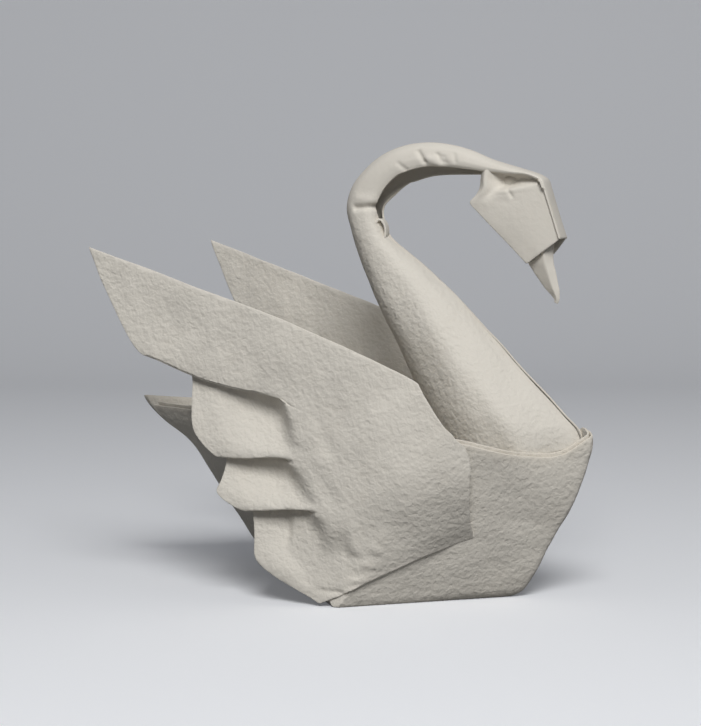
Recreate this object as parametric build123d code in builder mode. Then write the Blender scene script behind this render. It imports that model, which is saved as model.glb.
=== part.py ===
"""Swan folded from one sheet of thick damp-folded paper, in millimetres.

+X runs towards the breast, +Y to the swan's left and +Z up. The origin is where the diagonals of the
base cross, on the surface that the swan rests on. The right half is at -Y.
"""

import os
from math import hypot

from build123d import *

# Sheet
ply = 0.45  # one layer of the sheet
ply_gap = 0.25  # air between two layers that lie together
overrun = 5.0  # how far a cutting form runs past what it cuts
weld = 0.3  # how far a layer runs into the layer that it continues

# Body, an open boat on a kite-shaped base
base_front = 28.8  # base's front corner
base_rear = 24.0  # base's rear corner
base_half_width = 25.2
side_fold = 0.8  # half the length of the blunt side corner of the base
rim_height = 37.0
bow_reach = 45.5  # front of the breast at the rim
tail_reach = 59.0  # tip of the tail
shoulder_front = 21.5  # front upright fold at the rim
shoulder_rear = 27.5  # rear upright fold at the rim
shoulder_half_width = 23.0
rim_step = 0.5  # inner layer stands above the outer one
rim_slot_depth = 3.0  # depth to which the two layers part at the rim
far_tail_lift = 1.3  # left edge of the tail stands above the right one
tail_lift_share = 0.4  # share of the tail's reach where that lift begins

# Shares of the way from the base to the rim, and what each level has there
level_shares = (0.0, 0.045, 0.22, 0.55, 0.8, 0.93, 1.08)
bow_shares = (0.0, 0.15, 0.371, 0.766, 0.945, 0.986, 1.0)
tail_shares = (0.0, 0.048, 0.24, 0.511, 0.706, 0.891, 1.04)
tail_root_shares = (
    (0.52, 0.5),
    (0.55, 0.47),
    (0.68, 0.37),
    (0.84, 0.22),
    (0.84, 0.21),
    (0.8, 0.2),
    (0.76, 0.19),
)
# Rim's line as shares of the reach in front or behind, and of the rim's height
rim_shares = (
    (-1.05, 1.05),
    (-0.98, 1.038),
    (-0.78, 1.016),
    (-0.4, 1.0),
    (0.2, 0.995),
    (0.48, 0.985),
    (0.64, 0.93),
    (0.78, 0.875),
    (0.87, 0.868),
    (0.93, 0.893),
    (0.97, 0.93),
    (1.03, 0.97),
)

# Neck, a cone of paper that closes round its front and turns into a hooped channel
arch_height = 97.3
neck_half_width = 12.0  # widest, at the rim
neck_seam_half_gap = 1.3  # open seam along the front
bow_clearance = 0.35  # between the neck's front and the bow's inner layer
# Back and front of each section: height share from the rim to the arch, then share of the bow's reach
neck_shares = (
    ((-0.265, 0.38), (-0.265, None)),
    ((-0.09, 0.29), (-0.095, None)),
    ((0.075, 0.187), (0.053, 0.868)),
    ((0.2, 0.1), (0.202, 0.67)),
    ((0.348, 0.0), (0.386, 0.43)),
    ((0.481, -0.088), (0.517, 0.253)),
    ((0.589, -0.149), (0.609, 0.099)),
    ((0.688, -0.193), (0.685, -0.011)),
    ((0.771, -0.213), (0.755, -0.073)),
    ((0.846, -0.182), (0.816, -0.048)),
    ((0.927, -0.09), (0.861, 0.018)),
    ((0.978, 0.033), (0.894, 0.088)),
    ((1.0, 0.224), (0.915, 0.22)),
    ((0.977, 0.396), (0.911, 0.369)),
    ((0.94, 0.54), (0.88, 0.515)),
    ((0.913, 0.65), (0.893, 0.64)),
)
# Half width, half gap at the front, and width near the front as a share of the half width
neck_width_shares = (
    (0.74, 0.7, 0.45),
    (0.8, 0.75, 0.45),
    (0.84, 0.9, 0.5),
    (0.73, 0.95, 0.56),
    (0.58, 0.7, 0.64),
    (0.47, 0.6, 0.7),
    (0.38, 0.8, 0.76),
    (0.31, 1.1, 0.84),
    (0.28, 1.8, 0.95),
    (0.27, 2.1, 0.98),
    (0.26, 2.1, 0.98),
    (0.25, 2.05, 0.98),
    (0.25, 2.0, 0.98),
    (0.24, 1.95, 0.98),
    (0.22, 1.9, 0.98),
    (0.17, 1.3, 0.98),
)
far_flange = 2.2  # left edge of the hoop hangs below the right one
far_flange_shares = (0, 0, 0, 0, 0, 0, 0, 0.3, 0.8, 1.0, 1.0, 0.95, 0.9, 0.6, 0.2, 0)
# Places of the section's points: their depth, and how wide the back is there
neck_depth_shares = (0.85, 0.6, 0.22)
neck_back_share = 0.75
neck_round_shares = (0.0, 0.11, 0.24, 0.4, 0.5, 0.6, 0.76, 0.89, 1.0)  # all its points, round the neck

# Loop where the hoop's pinched edge has curled back
curl_height = 4.2
curl_depth = 2.5
curl_width = 2.2
curl_lean = 110.0  # degrees from level
curl_row = 7  # neck's section that carries it
curl_centre = (0.3, -0.9, 0.1)  # from the right edge there: forwards, towards the right, up

# Head, a sleeve folded back from the neck, with the beak in its mouth
head_half_width = 2.9
head_length = 19.5
head_depth = 20.0
# Nape from the neck's end, then the strip over crown and forehead from the nape
nape_row = 14  # neck's section above the nape
nape_shares = (-0.2, -0.29)
strip_shares = (
    (0.24, 0.458),
    (0.51, 0.39),
    (0.682, 0.335),
    (0.76, 0.27),
    (0.795, 0.195),
    (1.0, -0.37),
)
# Strip's half width from the neck's end forwards: share of the head's length, then of its half width
strip_width_shares = ((0.2, 0.74), (0.5, 0.97), (0.6, 1.0), (1.02, 1.0))
# Side panel's rows from the crown to the mouth, each with its rear and its front end from the nape
panel_row_shares = (
    ((0.2, 0.43), (0.69, 0.32)),
    ((0.16, 0.335), (0.752, 0.26)),
    ((0.095, 0.2), (0.785, 0.195)),
    ((0.036, 0.085), (0.805, 0.145)),
    ((0.0, 0.0), (0.836, 0.05)),
    ((0.08, -0.09), (0.867, -0.03)),
    ((0.63, -0.625), (0.99, -0.365)),
)
# Points along a row and each row's half widths there: rear edge, nape's fold, hollow, panel, strip
panel_place_shares = (0.0, 0.15, 0.36, 0.68, 1.0)
panel_width_shares = (
    (0.84, 0.86, 0.9, 0.92, 0.93),
    (0.78, 0.93, 0.71, 0.73, 0.9),
    (0.82, 1.05, 0.56, 0.68, 0.94),
    (0.86, 1.08, 0.8, 0.93, 0.95),
    (0.9, 1.05, 1.0, 1.02, 0.95),
    (0.94, 1.0, 1.02, 1.03, 0.95),
    (0.8, 0.86, 0.95, 0.98, 0.93),
)
beak_drop = 13.5  # from the forehead's lower end to the beak's tip
beak_half_width = 2.75
beak_skin_share = 0.6  # most of the half width that the layer fills near the tip
# Each level: share of the drop, rear edges and front fold as shares of the way from the jaw to the
# forehead's lower end, then the share of the half width
beak_shares = (
    (0.0, 0.1, 0.8, 0.9),
    (0.37, 0.0, 0.77, 0.7),
    (0.54, 0.13, 0.82, 0.57),
    (0.69, 0.28, 0.87, 0.42),
    (0.9, 0.62, 0.95, 0.22),
    (1.0, 0.78, 0.91, 0.1),
)

# Wings, each pleated from its rear edge and folded out of the body's front wall
wing_length = 83.0
wing_front = 25.7  # leading edge, furthest forward
wing_height = 74.6  # tip of the wing
wing_stand = 1.6  # pleats stand off the base's half width
wing_flare = 3.4  # further spread at the tip
pleat_gap = 0.35  # air inside a pleat
pleat_tuck = 4.5  # how far up a pleat's sheet goes before it turns down again
# Side view from the tip round the rear edge, under the wing and up the leading edge: share of the
# length behind the leading edge, and of the tip's height
wing_outline_shares = (
    (1.0, 1.0),
    (0.939, 0.853),
    (0.87, 0.704),
    (0.845, 0.688),
    (0.798, 0.661),
    (0.723, 0.63),
    (0.723, 0.513),
    (0.717, 0.504),
    (0.657, 0.417),
    (0.635, 0.409),
    (0.63, 0.405),
    (0.64, 0.35),
    (0.654, 0.32),
    (0.631, 0.299),
    (0.587, 0.265),
    (0.566, 0.26),
    (0.562, 0.257),
    (0.553, 0.209),
    (0.555, 0.135),
    (0.542, 0.119),
    (0.498, 0.079),
    (0.454, 0.056),
    (0.389, 0.017),
    (0.37, 0.011),
    (0.316, 0.02),
    (0.02, 0.188),
    (0.019, 0.255),
    (0.008, 0.326),
    (0.006, 0.389),
    (0.0, 0.429),
    (0.008, 0.456),
    (0.03, 0.483),
    (0.067, 0.539),
    (0.119, 0.638),
    (0.184, 0.673),
    (0.43, 0.791),
)
# Lines along the wing: share of the length, then top edge, three folds and lower edge as shares of
# the tip's height, and share of the flare
wing_line_shares = (
    (1.03, 1.014, 0.717, 0.415, 0.255, 0.01, 1.0),
    (0.84, 0.944, 0.686, 0.413, 0.255, 0.01, 0.66),
    (0.683, 0.885, 0.626, 0.41, 0.255, 0.01, 0.4),
    (0.563, 0.84, 0.602, 0.413, 0.26, 0.01, 0.2),
    (0.466, 0.804, 0.582, 0.42, 0.271, 0.012, 0.05),
    (0.382, 0.768, 0.559, 0.42, 0.276, 0.014, 0.0),
    (0.33, 0.75, 0.55, 0.418, 0.282, 0.02, 0.0),
    (0.24, 0.716, 0.535, 0.414, 0.296, 0.07, 0.0),
    (0.14, 0.655, 0.525, 0.413, 0.315, 0.137, 0.0),
    (0.068, 0.61, 0.512, 0.41, 0.328, 0.172, 0.0),
    (-0.01, 0.56, 0.5, 0.405, 0.34, 0.207, 0.0),
)
# Stations, and how far each fold's pleat has opened there: 0 folded, 1 a shelf, 2 smooth
wing_station_shares = (
    1.03, 0.84, 0.68, 0.58, 0.51, 0.47, 0.443, 0.42, 0.37, 0.3, 0.22, 0.14, 0.085, 0.035, -0.01
)
pleat_open_shares = (
    (0, 0, 0, 0, 0, 0, 0, 1.0, 1.6, 1.9, 2, 2, 2, 2, 2),
    (0, 0, 0, 0, 0, 0, 0, 1.0, 1.5, 1.85, 2, 2, 2, 2, 2),
    (0, 0, 0, 0, 0, 0, 0, 0, 1.0, 1.5, 1.85, 2, 2, 2, 2),
)
pleat_tuck_shares = (
    (1.0, 1.0, 1.0, 1.0, 0.75, 0.4, 0.05, 0, 0, 0, 0, 0, 0, 0, 0),
    (1.0, 1.0, 1.0, 1.0, 0.75, 0.4, 0.05, 0, 0, 0, 0, 0, 0, 0, 0),
    (1.0, 1.0, 1.0, 1.0, 0.9, 0.75, 0.5, 0.05, 0, 0, 0, 0, 0, 0, 0),
)
pleat_run = 1.8  # height that a pleat's points take up where the sheet is smooth
pleat_round = 0.3  # outer corners of a fold
# Points down a feather: share of its height, share of the pleat's depth there
feather_shares = ((0.04, 1.0), (0.3, 0.66), (0.6, 0.12), (0.9, -0.12))
# How far out the sheet stands between hinge and full width, by share of the height and the length
bulge_height_shares = (0.0, 0.1, 0.26, 0.48, 0.74, 1.0)
bulge_place_shares = (1.03, 0.6, 0.45, 0.33, 0.24, 0.14, 0.068, -0.01)
bulge_shares = (
    (1.0, 1.0, 1.0, 1.0, 1.0, 1.0),
    (0.0, 0.6, 0.95, 1.0, 1.0, 1.0),
    (-0.3, 0.5, 0.95, 1.02, 1.0, 0.96),
    (0.0, 0.9, 1.05, 1.08, 1.0, 0.92),
    (0.0, 0.9, 1.02, 1.03, 0.96, 0.86),
    (0.0, 0.52, 0.82, 0.93, 0.9, 0.8),
    (0.0, 0.32, 0.54, 0.7, 0.78, 0.8),
    (0.0, 0.18, 0.34, 0.48, 0.57, 0.64),
)


def between(low, high, share):
    """Value at a share of the way from low to high."""
    return low + (high - low) * share


def along(place, places, values):
    """Value that follows straight runs from one place to the next."""
    pairs = list(zip(places, values))
    for (start, first), (end, last) in zip(pairs, pairs[1:]):
        if place <= end:
            break
    return between(first, last, (place - start) / (end - start))


def bow_x(z):
    """Front of the breast at a height."""
    return between(base_front, bow_reach, along(z / rim_height, level_shares, bow_shares))


def shoulder(z):
    """Front upright fold of the right wall at a height: its x and its half width."""
    share = z / rim_height
    return between(side_fold, shoulder_front, share), between(base_half_width, shoulder_half_width, share)


def front_wall_y(x, z):
    """Right front wall's outer face at a place."""
    fold_x, fold_y = shoulder(z)
    return -fold_y * (bow_x(z) - x) / (bow_x(z) - fold_x)


def inner_x(y, z):
    """Front wall's inner face at a half width and a height."""
    fold_x, fold_y = shoulder(z)
    reach = bow_x(z) - fold_x
    walls = 2 * ply + ply_gap
    return bow_x(z) - (y * reach + walls * hypot(reach, fold_y)) / fold_y


def body_level(row):
    """Body's outline at one level, drawn from the bow round the right side to the tail and back."""
    share = level_shares[row]
    z = share * rim_height
    fold_x, half_width = shoulder(z)
    tail_x = -between(base_rear, tail_reach, tail_shares[row])
    root_x, root_y = tail_root_shares[row]
    side = [
        (fold_x, -half_width),
        (-between(side_fold, shoulder_rear, share), -half_width),
        (root_x * tail_x, -root_y * half_width),
    ]
    mirrored = [(x, -y) for x, y in reversed(side)]
    return [(bow_x(z), 0), *side, (tail_x, 0), *mirrored]


def body_form(inset, lift):
    """Solid of the body's form, drawn in by inset and raised by lift."""
    with BuildPart() as form:
        for row, share in enumerate(level_shares):
            height = max(share * rim_height, lift)
            with BuildSketch(Plane.XY.offset(height)):
                with BuildLine():
                    Polyline(*body_level(row), close=True)
                make_face()
                if inset:
                    offset(amount=-inset, kind=Kind.INTERSECTION)
        loft()
    return form.part


def above_rim(drop, lift):
    """Everything above the rim's line, on the right side, with the line lowered by drop."""
    points = []
    for reach_share, height_share in rim_shares:
        reach = bow_reach if reach_share > 0 else tail_reach
        tail_part = max(-reach_share - tail_lift_share, 0) * lift
        points.append((reach_share * reach, height_share * rim_height - drop + tail_part))
    top = level_shares[-1] * rim_height + overrun
    with BuildPart() as form:
        with BuildSketch(Plane.XZ):
            with BuildLine():
                edge = Spline(*points)
                Polyline(edge @ 1, (points[-1][0], top), (points[0][0], top), edge @ 0)
            make_face()
        extrude(amount=base_half_width + overrun)
    return form.part


def both_sides(right, left):
    """Form for the right side, joined with another one turned over to the left."""
    with BuildPart() as pair:
        add(right)
        add(left.mirror(Plane.XZ))
    return pair.part


def body():
    """Boat with walls of two layers that part at the rim, and a flat base."""
    walls = 2 * ply + ply_gap
    right, left = above_rim(0, 0), above_rim(0, far_tail_lift)
    step_right, step_left = above_rim(rim_step, 0), above_rim(rim_step, far_tail_lift)
    slot_right = above_rim(rim_slot_depth, 0)
    slot_left = above_rim(rim_slot_depth, far_tail_lift)
    outer = body_form(0, 0)
    with BuildPart() as slot:
        add(body_form(ply, ply))
        add(body_form(ply + ply_gap, ply), mode=Mode.SUBTRACT)
        add(both_sides(slot_right, slot_left), mode=Mode.INTERSECT)
    with BuildPart() as step:
        add(outer)
        add(body_form(ply + ply_gap, ply), mode=Mode.SUBTRACT)
        add(both_sides(step_right, step_left), mode=Mode.INTERSECT)
    with BuildPart() as boat:
        add(outer)
        add(body_form(walls, ply), mode=Mode.SUBTRACT)
        add(both_sides(right, left), mode=Mode.SUBTRACT)
        add(slot.part, mode=Mode.SUBTRACT)
        add(step.part, mode=Mode.SUBTRACT)
    return boat.part


def inward(points, distance):
    """The same line drawn in by distance on its left, square to the run at each point."""
    drawn = []
    for place, point in enumerate(points):
        before = points[max(place - 1, 0)]
        after = points[min(place + 1, len(points) - 1)]
        run = Vector(*after) - Vector(*before)
        square = Vector(-run.Y, run.X).normalized()
        drawn.append((point[0] + distance * square.X, point[1] + distance * square.Y))
    return drawn


def neck_section(row):
    """Plane of one section of the neck, and its outer line from the right edge round the spine."""
    (back_height, back_reach), (front_height, front_reach) = neck_shares[row]
    back_z = between(rim_height, arch_height, back_height)
    front_z = between(rim_height, arch_height, front_height)
    width_share, gap_share, front_share = neck_width_shares[row]
    half = neck_half_width * width_share
    gap = neck_seam_half_gap * gap_share
    if front_reach is None:
        front_x = inner_x(gap, front_z) + (weld if row == 0 else -bow_clearance)
    else:
        front_x = front_reach * bow_reach
    back = Vector(back_reach * bow_reach, 0, back_z)
    depth = Vector(front_x, 0, front_z) - back
    across = depth.normalized()
    plane = Plane(origin=back, x_dir=across, z_dir=(-across.Z, 0, across.X))
    widths = (front_share * half, half, neck_back_share * half)
    right, left = depth.length, depth.length + far_flange * far_flange_shares[row]
    near = [(share * right, -width) for share, width in zip(neck_depth_shares, widths)]
    far = [(share * left, width) for share, width in zip(neck_depth_shares, widths)]
    return plane, [(right, -gap), *near, (0, 0), *reversed(far), (left, gap)]


def neck():
    """Channel of one layer, closed to a cone below and hooped over above."""
    with BuildPart() as channel:
        for row in range(len(neck_shares)):
            plane, line = neck_section(row)
            with BuildSketch(plane):
                with BuildLine():
                    outer = Edge.make_spline(line, parameters=neck_round_shares)
                    inner = Edge.make_spline(inward(line, -ply), parameters=neck_round_shares)
                    add([outer, inner])
                    Line(outer @ 0, inner @ 0)
                    Line(outer @ 1, inner @ 1)
                make_face()
        loft()
    return channel.part


def curl():
    """Small loop of one layer on the right edge of the hoop."""
    plane, line = neck_section(curl_row)
    edge = plane.from_local_coords(Vector(*line[0]))
    ahead, aside, up = curl_centre
    with BuildPart() as loop:
        with BuildSketch(Plane.XZ.offset(-edge.Y - aside)):
            with Locations((edge.X + ahead, edge.Z + up)):
                SlotOverall(curl_height, curl_depth, rotation=curl_lean)
                SlotOverall(
                    curl_height - 2 * ply, curl_depth - 2 * ply, rotation=curl_lean, mode=Mode.SUBTRACT
                )
        extrude(amount=curl_width / 2, both=True)
    return loop.part


def head_place(share):
    """Place in the head's side view, as shares of its length and depth from the nape."""
    plane, line = neck_section(nape_row)
    end = plane.from_local_coords(Vector(line[0][0], 0))
    x = end.X + (nape_shares[0] + share[0]) * head_length
    return x, end.Z + (nape_shares[1] + share[1]) * head_depth


def side_panel():
    """Right side of the head, with the nape's soft fold and the hollow beside it."""
    with BuildPart() as panel:
        for (rear, front), widths in zip(panel_row_shares, panel_width_shares):
            (x, z), (end_x, end_z) = head_place(rear), head_place(front)
            run = Vector(end_x - x, 0, end_z - z)
            plane = Plane(origin=(x, 0, z), x_dir=run, z_dir=(-run.Z, 0, run.X))
            line = [
                (place * run.length, -width * head_half_width)
                for place, width in zip(panel_place_shares, widths)
            ]
            with BuildSketch(plane):
                with BuildLine():
                    Polyline(*line, *reversed(inward(line, ply)), close=True)
                make_face()
        loft(ruled=True)
    return panel.part


def head():
    """Sleeve of two side panels and a strip over crown and forehead, open at jaw and mouth."""
    strip = [head_place(share) for share in strip_shares]
    edge = [(head_place((place, 0))[0], width * head_half_width) for place, width in strip_width_shares]
    panel = side_panel()
    with BuildPart() as sleeve:
        with BuildSketch(Plane.XZ.offset(head_half_width)):
            with BuildLine():
                Polyline(*strip, *reversed(inward(strip, -ply)), close=True)
            make_face()
        extrude(amount=-2 * head_half_width)
        with BuildSketch():
            with BuildLine():
                Polyline(*edge, *((x, -y) for x, y in reversed(edge)), close=True)
            make_face()
        extrude(amount=arch_height, mode=Mode.INTERSECT)
        add(panel)
        add(panel.mirror(Plane.XZ))
    return sleeve.part


def beak():
    """Strip folded lengthwise, which comes out of the head's mouth and runs to a point."""
    jaw, front = (head_place(share) for share in panel_row_shares[-1])
    with BuildPart() as blade:
        for drop_share, rear_share, fold_share, width_share in beak_shares:
            rear = between(jaw[0], front[0], rear_share)
            fold = between(jaw[0], front[0], fold_share)
            half = beak_half_width * width_share
            skin = min(ply, beak_skin_share * half) / half
            with BuildSketch(Plane.XY.offset(front[1] - beak_drop * drop_share)):
                with BuildLine():
                    Polyline(
                        (rear, -half),
                        (fold, 0),
                        (rear, half),
                        (rear, between(half, 0, skin)),
                        (between(fold, rear, skin), 0),
                        (rear, -between(half, 0, skin)),
                        close=True,
                    )
                make_face()
        loft(ruled=True)
    return blade.part


def wing_x(share):
    """Place along the wing, a share of its length behind the leading edge."""
    return wing_front - share * wing_length


def wing_line(place, column):
    """A line along the wing at a place, a share of its length."""
    places = [-row[0] for row in wing_line_shares]
    return along(-place, places, [row[column] for row in wing_line_shares])


def wing_place(place, depth, z):
    """Point behind the wing's outer face, square to it, at a place and a height."""
    low, high = (wing_line(place, column) * wing_height for column in (5, 1))
    full = base_half_width + wing_stand + wing_flare * wing_line(place, 6)
    hinge = min(-front_wall_y(wing_x(place), low), base_half_width) - weld
    places = [-share for share in bulge_place_shares]
    profile = [along(-place, places, column) for column in zip(*bulge_shares)]

    def stand(height):
        share = min(max((height - low) / (high - low), 0), 1)
        return between(hinge, full, along(share, bulge_height_shares, profile))

    slope = (stand(z + ply) - stand(z - ply)) / (2 * ply)
    length = hypot(1, slope)
    return -stand(z) + depth / length, z + depth * slope / length


def pleat_points(opened, tuck):
    """Outer and inner line of one pleat, as depths behind the wing's face and heights over its fold."""
    back = 2 * ply + pleat_gap
    deep, turn = back + pleat_gap, pleat_round
    outer = [(0, turn), (turn, 0), (back - turn, 0), (back, turn), (back, tuck + turn), (deep, tuck + turn)]
    inner = [(ply, ply), (ply + pleat_gap, ply), (ply + pleat_gap, tuck + ply), (deep + ply, tuck + ply)]
    lines = []
    for line, inset in ((outer, 0), (inner, ply)):
        shares = [number / (len(line) - 1) for number in range(len(line))]
        if opened < 1:
            shelf = [(inset + share * back, inset) for share in shares]
            start, end, share = line, shelf, opened
        else:
            start = [(inset + share * back, inset) for share in shares]
            end, share = [(inset, -place * pleat_run) for place in shares], opened - 1
        lines.append([tuple(between(a, b, share) for a, b in zip(*pair)) for pair in zip(start, end)])
    return lines


def wing_section(row):
    """Outline of the right wing at one station, down its outer face and back up the inner one."""
    place = wing_station_shares[row]
    top, *folds, low = (wing_line(place, column) * wing_height for column in range(1, 6))
    above, depth = top, 0
    outer, inner = [(0, top)], [(ply, top)]
    for number, below in enumerate([*folds, low]):
        for share, depth_share in feather_shares[number == 0 :]:
            z = between(above, below, share)
            outer.append((depth * depth_share, z))
            inner.append((depth * depth_share + ply, z))
        if below == low:
            outer.append((0, low))
            inner.append((ply, low))
            break
        opened = pleat_open_shares[number][row]
        fold_outer, fold_inner = pleat_points(opened, pleat_tuck * pleat_tuck_shares[number][row])
        outer += [(fold_depth, below + rise) for fold_depth, rise in fold_outer]
        inner += [(fold_depth, below + rise) for fold_depth, rise in fold_inner]
        above = below - max(opened - 1, 0) * pleat_run
        depth = 2 * (ply + pleat_gap) * (1 - opened / 2)
    return [wing_place(place, fold_depth, z) for fold_depth, z in outer + inner[::-1]]


def wing():
    """Right wing: one sheet pleated behind and smooth in front, trimmed to its side view."""
    outline = [(wing_x(back), up * wing_height) for back, up in wing_outline_shares]
    sections = [
        Wire.make_polygon([(wing_x(place), y, z) for y, z in wing_section(row)])
        for row, place in enumerate(wing_station_shares)
    ]
    with BuildPart() as sheet:
        add(Solid.make_loft(sections, ruled=True))
        with BuildSketch(Plane.XZ):
            with BuildLine():
                Polyline(*outline, close=True)
            make_face()
        extrude(amount=base_half_width + wing_stand + wing_flare + overrun, mode=Mode.INTERSECT)
    return sheet.part


if __name__ == "__main__":
    right_wing = wing()
    with BuildPart() as swan:
        add(body())
        add(neck())
        add(curl())
        add(head())
        add(beak())
        add(right_wing)
        add(right_wing.mirror(Plane.XZ))
    swan.part.label = "swan"
    os.makedirs("parts", exist_ok=True)
    export_step(swan.part, "parts/swan.step")
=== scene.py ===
"""Paper swan folded damp from one thick sheet: its surfaces, paper finish, light and camera.

Sizes are in millimetres and turn into metres where a mesh is made. +X runs towards the breast, +Y to
the swan's left and +Z up. The origin is where the diagonals of the base cross, on the table.
"""

from __future__ import annotations

import logging
import math
from dataclasses import dataclass
from enum import Enum
from typing import Any, Dict, List, Optional, Sequence, Tuple

import bmesh
import bpy
import numpy as np
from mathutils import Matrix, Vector


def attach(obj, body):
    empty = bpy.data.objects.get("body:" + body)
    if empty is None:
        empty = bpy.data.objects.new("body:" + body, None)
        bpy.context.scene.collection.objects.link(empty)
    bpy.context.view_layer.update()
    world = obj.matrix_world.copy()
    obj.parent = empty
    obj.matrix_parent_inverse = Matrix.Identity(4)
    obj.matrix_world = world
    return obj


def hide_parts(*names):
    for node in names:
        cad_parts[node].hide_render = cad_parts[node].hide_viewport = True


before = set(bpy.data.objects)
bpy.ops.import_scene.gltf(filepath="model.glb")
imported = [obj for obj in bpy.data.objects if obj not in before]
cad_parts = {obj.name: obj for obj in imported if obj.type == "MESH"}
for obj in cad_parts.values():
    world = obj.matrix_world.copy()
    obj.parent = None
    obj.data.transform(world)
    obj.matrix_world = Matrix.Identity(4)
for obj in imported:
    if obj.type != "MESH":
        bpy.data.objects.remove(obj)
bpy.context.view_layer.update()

Array = np.ndarray
MM = 0.001
# Vertices nearer than this are one, in metres
MERGE = 1e-7
# Angles of the rows that round an open edge
EDGE_ANGLES = (0.25 * math.pi, 0.5 * math.pi, 0.75 * math.pi)
# Waves in a ripple, and their lengths as shares of its own
RIPPLE_WAVES = 9
RIPPLE_SPREAD = (0.7, 1.6)
Point = Tuple[float, float]
Colour = Tuple[float, float, float, float]
Table = Tuple[Tuple[float, ...], ...]
# Ripples as wavelength, height and seed, and troughs as start, end, radius and depth
Waves = Tuple[Tuple[float, float, int], ...]
Dents = Tuple[Tuple[Point, Point, float, float], ...]
log = logging.getLogger("swan")


class Side(Enum):
    """Side of the swan, as the sign of y there."""

    RIGHT = -1.0
    LEFT = 1.0


class Ends(Enum):
    """How a grid closes: not at all, round, round from one point, or round between two points."""

    SHEET = "sheet"
    RING = "ring"
    CUP = "cup"
    POD = "pod"


# Curves and surfaces


def between(low: Any, high: Any, share: Any) -> Any:
    """Value at a share of the way from low to high."""
    return low + (high - low) * share


def eased(share: Any) -> Array:
    """Smooth step: 3 s^2 - 2 s^3, held at 0 and 1 outside that run."""
    share = np.clip(share, 0.0, 1.0)
    return share * share * (3.0 - 2.0 * share)


def spline(knots: Sequence[float], values: Any, at: Any) -> Array:
    """Smooth curve through values.

    Between two knots it is the cubic whose slopes at both are those of the values around them.

    Args:
        knots: Rising places along the curve.
        values: One value, or row of values, for each knot.
        at: Places where the curve is wanted, of any shape.

    Returns:
        The curve's values, with the shape of at followed by that of one value.
    """
    places, rows, wanted = (np.asarray(item, float) for item in (knots, values, at))
    slopes = np.gradient(rows, places, axis=0)
    wanted = np.clip(wanted, places[0], places[-1])
    cell = np.clip(np.searchsorted(places, wanted, side="right") - 1, 0, len(places) - 2)
    width = places[cell + 1] - places[cell]
    t = (wanted - places[cell]) / width
    lift = t.shape + (1,) * (rows.ndim - 1)
    t, width = t.reshape(lift), width.reshape(lift)
    start = (1 + 2 * t) * (1 - t) ** 2 * rows[cell] + t * (1 - t) ** 2 * width * slopes[cell]
    end = t * t * (3 - 2 * t) * rows[cell + 1] + t * t * (t - 1) * width * slopes[cell + 1]
    return start + end


def densified(rows: Array, count: int) -> Array:
    """Straight runs between each two rows along the second axis.

    Args:
        rows: Grid of points.
        count: Steps in each run.

    Returns:
        The grid with its second axis that many times as fine.
    """
    total = (rows.shape[1] - 1) * count
    place = np.arange(total + 1) / count
    cell = np.minimum(place.astype(int), rows.shape[1] - 2)
    share = (place - cell)[None, :, None]
    return rows[:, cell] * (1 - share) + rows[:, cell + 1] * share


def softened(points: Array, passes: int, axis: int = 1, closed: bool = False) -> Array:
    """Each point drawn to the mean of its neighbours: (before + 2 itself + after) / 4.

    Args:
        points: Grid of points.
        passes: How many times it is done.
        axis: Direction in which the neighbours lie.
        closed: Whether the first point follows the last one.

    Returns:
        The softened grid.
    """
    points = np.moveaxis(points, axis, 0).copy()
    for _ in range(passes):
        if closed:
            points = (np.roll(points, 1, 0) + 2 * points + np.roll(points, -1, 0)) / 4
        else:
            points[1:-1] = (points[:-2] + 2 * points[1:-1] + points[2:]) / 4
    return np.moveaxis(points, 0, axis)


def unit(vectors: Array) -> Array:
    """Vectors at length one."""
    length = np.linalg.norm(vectors, axis=-1, keepdims=True)
    return vectors / np.maximum(length, 1e-9)


def squares(points: Array, closed: bool) -> Array:
    """Unit vectors square to a grid: the cross product of its two directions.

    Args:
        points: Grid of points.
        closed: Whether its first axis runs round.

    Returns:
        One vector for each point. At a pole it is the mean of those beside it.
    """
    if closed:
        along = np.roll(points, -1, 0) - np.roll(points, 1, 0)
    else:
        along = np.gradient(points, axis=0)
    normal = np.cross(along, np.gradient(points, axis=1))
    flat = np.linalg.norm(normal, axis=-1) < 1e-7
    if flat[:, 0].all():
        normal[:, 0] = normal[:, 1].mean(0)
    if flat[:, -1].all():
        normal[:, -1] = normal[:, -2].mean(0)
    return unit(normal)


def ripple(points: Array, wavelength: float, seed: int) -> Array:
    """Sine waves in seeded directions: their sum over the root of their number.

    Args:
        points: Places in millimetres.
        wavelength: Rough length of the waves.
        seed: Seed of their directions, lengths and phases.

    Returns:
        A height for each point, mostly between -1 and 1.
    """
    chance = np.random.default_rng(seed)
    directions = unit(chance.normal(size=(RIPPLE_WAVES, 3)))
    lengths = wavelength * chance.uniform(*RIPPLE_SPREAD, RIPPLE_WAVES)
    phases = chance.uniform(0, 2 * math.pi, RIPPLE_WAVES)
    turns = points @ directions.T * (2 * math.pi / lengths) + phases
    return np.sin(turns).sum(-1) / math.sqrt(RIPPLE_WAVES)


def unevenness(points: Array, waves: Waves) -> Array:
    """Soft unevenness of a hand-folded sheet: the sum of ripples, each times its height.

    Args:
        points: Places in millimetres.
        waves: Wavelength, height and seed of each ripple.

    Returns:
        A height in millimetres for each point.
    """
    return sum(height * ripple(points, wavelength, seed) for wavelength, height, seed in waves)


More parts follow.
